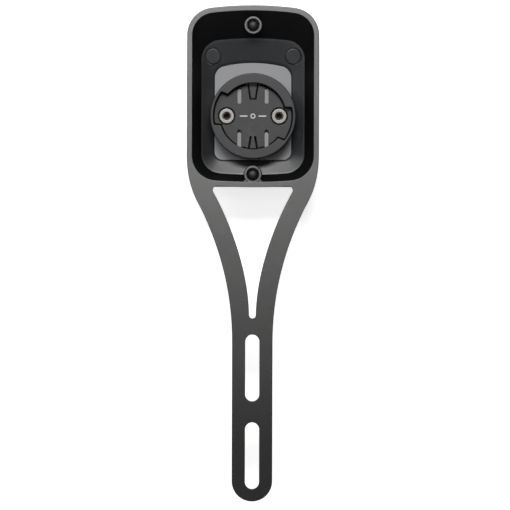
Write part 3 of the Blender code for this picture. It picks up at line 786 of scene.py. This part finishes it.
def make_plate():
    """The plate with its fork and slots, and the nest's wall from the rim down to its foot."""
    shell = Shell()
    lids, floors = [], []
    loops = [(plate_outline(), -1, rim_edge)]
    loops += [(hole, 1, PLATE_EDGE) for hole in [fork_outline()] + clamp_slots()]
    for loop, side, top_edge in loops:
        rings = rounded_edge(loop, side, top_edge, PLATE_TOP)
        rings += rounded_edge(loop, side, PLATE_EDGE, PLATE_BOTTOM, up=-1)[::-1]
        first, last = shell.strip(rings)
        lids.append(first)
        floors.append(last)

    inner, foot = rounded_outline(RIM_INNER), rounded_outline(WALL_FOOT)
    rim = rounded_edge(inner, 1, PLATE_EDGE, PLATE_TOP)
    start, end = PLATE_TOP - PLATE_EDGE, BRACKET_FOOT + WALL_LIP
    wall = [level(between(inner, foot, t / 6), start + (end - start) * t / 6) for t in range(1, 7)]
    under = [level(offset(foot, inset), BRACKET_FOOT) for inset in (WALL_LIP, WALL_THICKNESS)]
    under.append(level(offset(inner, WALL_THICKNESS), PLATE_BOTTOM))
    # The nest's wall takes the second finish, the near-black painted shade.
    first, last = shell.strip(rim + wall + under, lambda place: int(place >= len(rim) - 1))
    shell.cap(*lids, first)
    shell.cap(*floors, last)
    return shell.object("bracket_plate", LOOKS["anodised_aluminium"], NEST_WALL_PAINTED_SHADE)


def make_skirt():
    """Solid under the rim, round the nest's wall."""
    inside = rounded_outline(RIM_INNER, 0.35)
    outside = rounded_outline(RIM_OUTER, -0.12)
    skirt_foot = rounded_outline(RIM_OUTER, -SKIRT_INSET)
    foot_inside = rounded_outline(WALL_FOOT, 0.4)
    foot = BRACKET_FOOT + 0.02
    top = PLATE_TOP - 1.0
    return ring_of("skirt", (inside, top), (outside, top), (outside, PLATE_BOTTOM - 0.4),
                   (skirt_foot, foot + 0.2), (offset(skirt_foot, -0.2), foot), (foot_inside, foot))


def make_bracket():
    bracket = make_plate()
    join(bracket, make_skirt())
    clamp = offset([point for point in plate_outline() if point[1] < CLAMP_FRONT], -CLAMP_INSET)
    join(bracket, slab("clamp", clamp, CLAMP_BOTTOM, 1.0, 0.15, clamp_slots(CLAMP_SLOT_PLAY)))
    join(bracket, slab("web", boss_web_outline(), BRACKET_FOOT + 0.04, BOSS_WEB_TOP, 0.05))
    for y in BOSSES.values():
        boss = circle((0, y), BOSS_RADIUS)
        join(bracket, slab("boss", boss, BRACKET_FOOT + 0.03, BOSS_TOP + 0.05, BOSS_EDGE))
        under, over = BRACKET_FOOT - PAST, BOSS_TOP + 0.25
        bore = ((0, under), (BOSS_HOLE, under), (BOSS_HOLE, BOSS_FLOOR), (BOSS_BORE, BOSS_FLOOR),
                (BOSS_BORE, BOSS_TOP - 0.05), (BOSS_BORE + BOSS_FLARE, over), (0, over))
        cut(bracket, lathe("bore", (0, y), bore))
    dress(bracket, "anodised_aluminium", "mount", "bracket")


def tray_hull():
    """Rings of the tray's outside, over both rounded edges."""
    height = TRAY_TOP - TRAY_BOTTOM - 2 * TRAY_EDGE
    levels = [TRAY_BOTTOM + TRAY_EDGE + height * step / 12 for step in range(13)]
    hull = rounded_edge(tray_section(TRAY_BOTTOM), -1, TRAY_EDGE, TRAY_BOTTOM, up=-1)[:-1]
    hull += [level(tray_section(z), z) for z in levels]
    hull += rounded_edge(tray_section(TRAY_TOP), -1, TRAY_EDGE, TRAY_TOP)[::-1][1:]
    return hull


def tray_slope():
    """Rings down the nest's curved floor and the wall of the panel's pocket."""
    foot = rounded_outline(WALL_FOOT)
    pocket = rounded_outline(PANEL, POCKET_GROW)
    slope = [level(offset(foot, 0.3), TRAY_TOP), level(foot, TRAY_TOP)]
    fall = PANEL_TOP - TRAY_TOP
    for step in range(1, 10):
        t = step / 9 * SLOPE_REACH
        slope.append(level(between(foot, pocket, t), TRAY_TOP + fall * (1 - (1 - t) ** SLOPE_CURVE)))
    slope += [level(pocket, PANEL_TOP - 0.05), level(pocket, WEB_TOP)]
    return slope


def make_tray_shell():
    """Hull, floor and the web with its two bush holes, open underneath."""
    shell = Shell()
    bottom, web = shell.strip(tray_hull() + tray_slope())
    middle = (TRAY_BOTTOM + WEB_BOTTOM) / 2
    walls = ((TRAY_BOTTOM, TRAY_WALL), (middle, TRAY_WALL), (WEB_BOTTOM, TRAY_WALL + 0.6))
    mouth, ceiling = shell.strip([level(tray_section(z, wall), z) for z, wall in walls])
    bush_tops, bush_feet = [], []
    for spot in GUIDES.values():
        hole = circle(spot, BUSH_HOLE)
        top, foot = shell.strip([level(hole, WEB_TOP), level(hole, WEB_BOTTOM)])
        bush_tops.append(top)
        bush_feet.append(foot)
    shell.cap(web, *bush_tops)
    shell.cap(ceiling, *bush_feet)
    shell.cap(bottom, mouth)
    return shell.object("tray_shell")


def make_tray():
    tray = make_tray_shell()
    for spot in SPOTS:
        groove = circle(spot, SPOT_RADIUS + SPOT_GROOVE, 72)
        cut(tray, slab("groove", groove, SPOT_TOP - 0.6, TRAY_TOP + PAST, 0.1))
        flat = slab("spot", circle(spot, SPOT_RADIUS, 72), TRAY_BOTTOM + 0.6, SPOT_TOP, SPOT_EDGE)
        for vertex in flat.data.vertices:
            vertex.co.z += SPOT_TILT * (vertex.co.y - spot[1] * MM)
        join(tray, flat)
    pillar = circle(REAR_PILLAR, REAR_PILLAR_RADIUS)
    join(tray, slab("pillar", pillar, TRAY_BOTTOM + 0.1, WEB_BOTTOM + 0.6, 0.1))
    for spot in cover_screw_spots():
        hole = circle(spot, COVER_SCREW_HOLE, 32)
        cut(tray, slab("hole", hole, TRAY_BOTTOM - PAST, SCREW_HOLE_END, 0.1))
    for y in BOSSES.values():
        join(tray, slab("seat", circle((0, y), BOSS_RADIUS), WEB_BOTTOM - 2, TRAY_TOP - 0.02, 0.1))
        cut(tray, slab("hole", circle((0, y), INSERT_HOLE, 32), WEB_BOTTOM, TRAY_TOP + PAST, 0.1))
    gap, depth = BOSS_GAP
    inner, outer = BOSS_RADIUS - 0.05, BOSS_RADIUS + gap
    floor, past = TRAY_TOP - depth, TRAY_TOP + PAST
    moat = ((inner, floor), (outer, floor), (outer, past), (inner, past))
    cut(tray, lathe("gap", (0, BOSSES["rear"]), moat))
    dress(tray, "black_plastic", "mount", "tray")


def cover_screw_spots():
    return [centre_of(place + "_cover_screw") for place in COVER_SCREWS]


def make_cover():
    """Bottom plate with a soft edge, a thumb hole and three screw recesses."""
    shell = Shell()
    base = tray_section(TRAY_BOTTOM, COVER_PLAY)
    rings = rounded_edge(base, -1, COVER_EDGE, COVER_BOTTOM, up=-1, steps=6)
    bottom, top = shell.strip(rings + [level(base, COVER_TOP)])
    push = circle(CENTRE, PUSH_HOLE, 72)
    rings = rounded_edge(push, 1, PUSH_HOLE_EDGE, COVER_BOTTOM, up=-1)
    mouth, ceiling = shell.strip(rings + [level(push, COVER_TOP)])
    shell.cap(bottom, mouth)
    shell.cap(top, ceiling)
    cover = shell.object("bottom_cover_shell")
    under, over = COVER_BOTTOM - PAST, COVER_TOP + PAST
    wide, narrow = COVER_HEAD_HOLE, COVER_SCREW_HOLE
    recess = ((0, under), (wide + 0.15, under), (wide + 0.15, COVER_BOTTOM), (wide, COVER_BOTTOM + 0.15),
              (wide, COVER_HEAD_FLOOR), (narrow, COVER_HEAD_FLOOR), (narrow, over), (0, over))
    for spot in cover_screw_spots():
        cut(cover, lathe("recess", spot, recess, 40))
    dress(cover, "black_plastic", "mount", "bottom_cover")


def make_boss_screw(end):
    """Smooth domed screw head over a thin flange."""
    node = end + "_boss_screw"
    bottom, top = heights(node)
    shank, head, rise = BOSS_SCREW
    radius, seat = radius_of(node), top - head
    crown = radius - 0.22
    profile = [(0, bottom), (shank - 0.2, bottom), (shank, bottom + 0.2), (shank, seat),
               (radius - 0.08, seat), (radius, seat + 0.08), (radius, seat + 0.32),
               (radius - 0.1, seat + 0.42), (crown, seat + 0.46)]
    for step in range(1, 14):
        angle = math.radians(step * 90 / 14)
        profile.append((crown * math.cos(angle), top - rise + rise * math.sin(angle)))
    profile.append((0, top))
    dress(lathe(end + "_boss_screw_dome", centre_of(node), profile, 56), "black_screw", "mount", node)


def make_insert(end):
    """Brass insert with a knurled band round its middle."""
    node = end + "_brass_insert"
    bottom, top = heights(node)
    centre, outer = centre_of(node), radius_of(node)
    steps = INSERT_TEETH * 4
    tip = circle(centre, outer - INSERT_CHAMFER, steps)
    plain = circle(centre, outer - INSERT_GROOVE, steps)
    bore = circle(centre, INSERT_BORE, steps)
    knurl = []
    for i, (x, y) in enumerate(circle((0, 0), 1.0, steps)):
        reach = outer - (KNURL_DEPTH if i % 4 in (0, 1) else 0.0)
        knurl.append((centre[0] + x * reach, centre[1] + y * reach))
    insert = ring_of(end + "_insert_knurled", (tip, bottom), (plain, bottom + 0.2), (plain, bottom + 0.85),
                     (knurl, bottom + 0.95), (knurl, top - 0.95), (plain, top - 0.85), (plain, top - 0.15),
                     (tip, top), (offset(bore, 0.1), top), (bore, top - 0.1), (bore, bottom))
    dress(insert, "brass", "mount", node)


def make_cover_screw(place):
    """Flat head with a cross-shaped drive recess, over a threaded shank."""
    node = place + "_cover_screw"
    bottom, top = heights(node)
    centre, radius = centre_of(node), radius_of(node)
    seat = COVER_HEAD_FLOOR - 0.3
    crest, root, pitch = COVER_THREAD
    profile = [(0, bottom), (radius - 0.25, bottom), (radius - 0.07, bottom + 0.07),
               (radius, bottom + 0.25), (radius, seat), (crest, seat)]
    z = seat + 0.4
    while z < top - 1.0:
        profile += [(crest, z), (root, z + pitch / 2)]
        z += pitch
    profile += [(root, top - 0.7), (0, top)]
    screw = lathe(node + "_turned", centre, profile, 40)
    length, width = CROSS_HALF
    for turn in (0, 90):
        along = Vector((math.cos(math.radians(turn)), math.sin(math.radians(turn))))
        across = Vector((-along.y, along.x))
        signs = ((-1, -1), (1, -1), (1, 1), (-1, 1))
        corners = [along * a * length + across * b * width for a, b in signs]
        outline = [(centre[0] + corner.x, centre[1] + corner.y) for corner in corners]
        cut(screw, slab("cross", outline, bottom - 0.5, bottom + CROSS_DEPTH, 0.03))
    dress(screw, "black_screw", "mount", node)


def coil(name, centre, top, bottom, per_turn=44, sides=12):
    """Widening coil of wire wound down from top to bottom, with part of a turn flat at each end."""
    steps = int(SPRING_TURNS * per_turn)
    narrow, wide = SPRING_RADII
    rings = []
    for step in range(steps + 1):
        t = step / steps
        turn = t * SPRING_TURNS
        climb = min(1.0, max(0.0, (turn - SPRING_CLOSED * 0.5) / (SPRING_TURNS - SPRING_CLOSED)))
        angle = 2 * math.pi * turn
        radius = narrow + (wide - narrow) * t
        z = top + (bottom - top) * climb
        ring = []
        for corner in range(sides):
            around = 2 * math.pi * corner / sides
            out = radius + WIRE_RADIUS * math.cos(around)
            ring.append((*polar_point(centre, out, angle), z + WIRE_RADIUS * math.sin(around)))
        rings.append(ring)
    shell = Shell()
    first, last = shell.strip(rings)
    shell.bm.faces.new(first[::-1])
    shell.bm.faces.new(last)
    return shell.object(name)


def make_spring(side):
    node = side + "_spring"
    centre = GUIDES[side]
    bottom, top = heights(node)
    spring = coil(side + "_spring_coil", centre, top - WIRE_RADIUS, bottom + WIRE_RADIUS)
    dress(spring, "spring_wire", "mount", node, sharp_from=60.0)
    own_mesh(spring)


def make_tube(node, name, slot, body, inner, edge=0.15):
    """Plain bush or sleeve with small chamfers."""
    bottom, top = heights(node)
    outer = radius_of(node)
    profile = ((outer - edge, bottom), (outer, bottom + edge), (outer, top - edge), (outer - edge, top),
               (inner + edge, top), (inner, top - edge), (inner, bottom + edge), (inner + edge, bottom))
    dress(lathe(name, centre_of(node), profile, 56), slot, body, node)


# -------- stage body

def screw_holes():
    """Outlines of the two holes that the receiver screws pass through."""
    return [circle(spot, SCREW_HOLE, 40) for spot in GUIDES.values()]


def make_panel():
    panel = slab("panel", rounded_outline(PANEL), PANEL_BOTTOM, PANEL_TOP, PANEL_EDGE, screw_holes())
    dress(panel, "panel_plastic", "stage", "stage_plate")


def make_ribs():
    """The panel's four ribs, which stand up into the receiver's slots."""
    across, width = LIGHT_SLOT
    for place, side, end in RIBS:
        start, stop = [CENTRE[1] + end * reach for reach in LIGHT_SLOT_ENDS[end]]
        rear, front = min(start, stop) + RIB_PLAY, max(start, stop) - RIB_START_GAP[end]
        outline = slot_outline((side * across, (rear + front) / 2), front - rear, width - 2 * RIB_PLAY)
        rib = slab(place + "_panel_rib", outline, PANEL_TOP - 0.3, RIB_TOP, 0.1)
        dress(rib, "panel_plastic", "stage")


def lip_rows(margin=0.0):
    """Directions round the receiver and how open its lip is in each; margin (degrees) narrows an entry."""
    (a0, a1), (b0, b1) = [(start + margin, end - margin) for start, end in ENTRY_SECTORS]
    zones = ((a0, a1, 1, 1), (a1, a1 + FLANK, 1, 0), (a1 + FLANK, b0 - FLANK, 0, 0), (b0 - FLANK, b0, 0, 1),
             (b0, b1, 1, 1), (b1, b1 + FLANK, 1, 0), (b1 + FLANK, a0 + 360 - FLANK, 0, 0),
             (a0 + 360 - FLANK, a0 + 360, 0, 1))
    rows = []
    for start, end, from_open, to_open in zones:
        steps = 10 if from_open != to_open else int((end - start) / 2)
        for step in range(steps):
            t = step / steps
            ease = t * t * (3 - 2 * t)
            opening = from_open + (to_open - from_open) * ease
            rows.append((math.radians(start + (end - start) * t), opening))
    return rows


def polar(rows, radius):
    """Loop round the receiver's centre; radius is a number or a function of how open the lip is there."""
    points = []
    for angle, opening in rows:
        reach = radius(opening) if callable(radius) else radius
        points.append(polar_point(CENTRE, reach, angle))
    return points


def make_receiver_ring(rows):
    """The upright ring with its lip, the undercut below that and the skirt outside."""
    lip = polar(rows, lambda opening: LIP_RADIUS + (ENTRY_RADIUS - LIP_RADIUS) * opening)
    widening = ENTRY_RADIUS + 0.03 - UNDERCUT_RADIUS
    undercut = polar(rows, lambda opening: UNDERCUT_RADIUS + widening * opening)
    outer = polar(rows, RING_RADIUS)
    skirt = polar(rows, SKIRT_RADIUS)
    buried = SOCKET_FOOT + 0.2
    rings = [level(undercut, buried), level(undercut, LIP_BOTTOM), level(lip, LIP_BOTTOM)]
    # The undercut and the lip's inner wall take the second finish: painted shade under the lip.
    dark = len(rings)
    rings += rounded_edge(lip, 1, LIP_EDGE, RING_TOP)[::-1]
    rings += rounded_edge(outer, -1, RING_EDGE, RING_TOP, steps=6)
    rings += [level(outer, SKIRT_FOOT + 0.15), level(offset(outer, -0.15), SKIRT_FOOT),
              level(skirt, SKIRT_FOOT), level(skirt, buried)]
    ring = Shell()
    ring.strip(rings, lambda place: int(place < dark), closed=True)
    return ring.object("receiver_moulding", *MOULDING)


def make_socket_floor(rows):
    """Floor inside the ring, with a groove along the lip and a pocket for each screw head."""
    shell = Shell()
    width, groove_floor = FLOOR_GROOVE
    extra, half_angle = END_GROOVE
    table = []
    for angle, opening in lip_rows(math.degrees(width / ENTRY_RADIUS)):
        reach = LIP_RADIUS + (ENTRY_RADIUS - LIP_RADIUS) * opening - width
        if abs(math.degrees(angle) - 270) < half_angle:
            reach -= extra
        reach -= GROOVE_SHIFT * math.sin(angle) ** 3
        table.append(polar_point(CENTRE, reach, angle))
    spread = polar(rows, SOCKET_SPREAD)
    rings = rounded_edge(table, -1, FLOOR_EDGE, SOCKET_FLOOR)
    rings += [level(table, groove_floor), level(spread, groove_floor), level(spread, SOCKET_FOOT)]
    # The floor's rounded edge along the groove and the groove itself take the second finish: painted shade.
    top, bottom = shell.strip(rings, look=1)
    lids, floors = [top], [bottom]
    pocket_radius, pocket_floor = HEAD_POCKET
    pillar_radius, pillar_foot = PILLAR
    for spot in GUIDES.values():
        mouth, shank = circle(spot, pocket_radius, 56), circle(spot, SCREW_HOLE, 56)
        pillar = circle(spot, pillar_radius, 56)
        rings = rounded_edge(mouth, 1, FLOOR_EDGE, SOCKET_FLOOR)
        rings += [level(mouth, pocket_floor), level(shank, pocket_floor), level(shank, pillar_foot),
                  level(pillar, pillar_foot), level(pillar, SOCKET_FOOT)]
        first, last = shell.strip(rings)
        lids.append(first)
        floors.append(last)
    shell.cap(*lids)
    shell.cap(*floors)
    return shell.object("socket_floor", *MOULDING)


def make_receiver():
    rows = lip_rows()
    receiver = make_receiver_ring(rows)
    join(receiver, make_socket_floor(rows))
    across, width = LIGHT_SLOT
    for side in (-1, 1):
        for end, (near, far) in LIGHT_SLOT_ENDS.items():
            slot = slot_outline((side * across, CENTRE[1] + end * (near + far) / 2), far - near, width)
            cut(receiver, slab("light_slot", slot, SOCKET_FOOT - 0.5, SOCKET_FLOOR + 0.6, 0.05))
    for shape in (FRONT_TONGUE, REAR_TONGUE):
        opening = tongue_outline(shape, opening=True)
        well = offset(opening, WELL_WALL)
        join(receiver, slab("well", well, WELL_FLOOR - 0.5, SOCKET_FOOT + 0.5, 0.05))
        # The openings' walls and the wells' floors take the second finish: painted shade seen through the
        # slits round each tongue.
        cut(receiver, slab("opening", opening, WELL_FLOOR, SOCKET_FLOOR + 0.6, 0.05, (), 1, MOULDING))
    dress(receiver, "receiver_plastic", "stage", "receiver")


def tongue_outline(shape, opening=False, root_shift=0.0):
    """Tapered tongue, or the opening that it sits in, counterclockwise."""
    root, free, root_half, free_half, side_slit, end_slit = shape
    root += root_shift
    if opening:
        free -= end_slit
        root_half += side_slit
        free_half += side_slit
    return [(free_half, free), (root_half, root), (-root_half, root), (-free_half, free)]


def make_tongue(end, shape):
    """Springy tongue, flush with the floor and rounded except where it joins at its root."""
    node = end + "_detent_tongue"
    outline = tongue_outline(shape, root_shift=TONGUE_EDGE + SUPPORT)
    tongue = slab(end + "_tongue_moulding", outline, low(node).z, SOCKET_FLOOR, TONGUE_EDGE)
    dress(tongue, "receiver_plastic", end + "_tongue", node)


def hexagon(centre, flat, corner=math.inf, steps=96):
    """Hexagon loop, given how far out its flats are and where its corners are cut off."""
    points = []
    for step in range(steps):
        angle = 2 * math.pi * step / steps
        local = (angle + math.pi / 6) % (math.pi / 3) - math.pi / 6
        reach = min(corner, flat / math.cos(local))
        points.append(polar_point(centre, reach, angle))
    return points


def make_receiver_screw(side):
    """Turned head with a chamfer and a shallow land round its dark hexagon socket."""
    node = side + "_receiver_screw"
    bottom, top = heights(node)
    centre, radius = centre_of(node), radius_of(node)
    shank, head = RECEIVER_SCREW
    seat = top - head
    profile = ((shank - 0.2, bottom), (shank, bottom + 0.2), (shank, seat), (radius - 0.1, seat),
               (radius, seat + 0.1), (radius, top - 0.36), (radius - 0.05, top - 0.2),
               (radius - 0.14, top - 0.08), (radius - 0.28, top), (radius - 0.34, top),
               (1.76, top), (1.7, top), (1.6, top - 0.06))
    rings = [level(circle(centre, reach, 96), z) for reach, z in profile]
    socket = hexagon(centre, HEX_CORNER_RADIUS * math.cos(math.pi / 6))
    rings += [level(socket, top - HEX_MOUTH), level(socket, top - HEX_DEPTH)]
    shell = Shell()
    # The socket's walls and floor take the second finish: painted shade inside the stainless head.
    first, last = shell.strip(rings, lambda place: int(place >= len(profile)))
    shell.cap(first)
    shell.cap(last, look=1)
    screw = shell.object(side + "_receiver_screw_turned", LOOKS["stainless"], SOCKET_PAINTED_SHADE)
    dress(screw, "stainless", "stage", node)


def make_lift_bar():
    outline = arc(GUIDES["right"], BAR_RADIUS, -90, 90, 32) + arc(GUIDES["left"], BAR_RADIUS, 90, 270, 32)
    bar = slab("lift_bar_plate", outline, *heights("lift_bar"), BAR_EDGE, screw_holes())
    dress(bar, "anodised_aluminium", "stage", "lift_bar")


def make_lock_nut(side):
    """Hexagon nut with rounded corners and a chamfered thread hole."""
    node = side + "_lock_nut"
    bottom, top = heights(node)
    centre = GUIDES[side]
    flat = NUT_FLATS / 2
    tip, body = hexagon(centre, flat, flat - 0.05), hexagon(centre, flat, flat * 1.13)
    hole = circle(centre, SCREW_HOLE, 96)
    mouth = offset(hole, 0.2)
    nut = ring_of(node + "_hex", (tip, bottom), (body, bottom + 0.22), (body, top - 0.22), (tip, top),
                  (mouth, top), (hole, top - 0.2), (hole, bottom + 0.2), (mouth, bottom))
    dress(nut, "stainless", "stage", node)


def make_push_pad():
    """Rubber thumb pad with raised rings in its dish."""
    bottom, top = heights("push_pad")
    radius = radius_of("push_pad")
    profile = [(0, bottom + 0.6)]
    for ring in range(1, 5):
        middle = ring * 1.05
        floor = bottom + 0.6 - 0.045 * ring
        profile += [(middle - 0.3, floor), (middle - 0.12, floor - 0.22), (middle + 0.12, floor - 0.22),
                    (middle + 0.3, floor)]
    profile += [(radius - 1.3, bottom + 0.25), (radius - 1.0, bottom), (radius - 0.5, bottom),
                (radius - 0.15, bottom + 0.15), (radius, bottom + 0.5), (radius, top - 0.2),
                (radius - 0.2, top), (0, top)]
    dress(lathe("push_pad_moulding", CENTRE, profile, 80), "rubber", "stage", "push_pad")


def make_mark():
    """Plain printed mark on the receiver's floor: a bar, a ring and a bar."""
    bottom = SOCKET_FLOOR + MARK_LIFT
    top = bottom + MARK_THICKNESS
    length, width = MARK_BAR
    outer, inner = MARK_RING
    shell = Shell()
    for side in (-1, 1):
        middle = CENTRE[0] + side * MARK_REACH
        bar = [(middle - y, CENTRE[1] + x) for x, y in slot_outline((0, 0), length, width, 10)]
        lower, upper = shell.strip([level(bar, bottom), level(bar, top)])
        shell.cap(lower)
        shell.cap(upper)
    corners = ((outer, bottom), (outer, top), (inner, top), (inner, bottom))
    shell.strip([level(circle(CENTRE, radius, 48), z) for radius, z in corners], closed=True)
    dress(shell.object("alignment_mark", PRINT), "receiver_plastic", "stage")


# -------- the whole scene

def build():
    make_camera()
    bpy.context.scene.view_settings.view_transform = "Standard"
    make_world()
    make_floor()
    for name, settings in LIGHTS.items():
        softbox(name, *settings)

    make_bracket()
    make_tray()
    make_cover()
    for end in ("front", "rear"):
        make_boss_screw(end)
        make_insert(end)
    for place in COVER_SCREWS:
        make_cover_screw(place)
    make_panel()
    make_ribs()
    make_receiver()
    make_tongue("front", FRONT_TONGUE)
    make_tongue("rear", REAR_TONGUE)
    make_lift_bar()
    make_push_pad()
    for side in ("left", "right"):
        make_receiver_screw(side)
        make_spring(side)
        make_tube(side + "_guide_bush", side + "_bush_sintered", "bronze", "mount", BUSH_BORE)
        make_tube(side + "_guide_sleeve", side + "_sleeve_turned", "stainless", "stage", SCREW_HOLE)
        make_lock_nut(side)
    make_mark()


build()
bpy.context.view_layer.update()
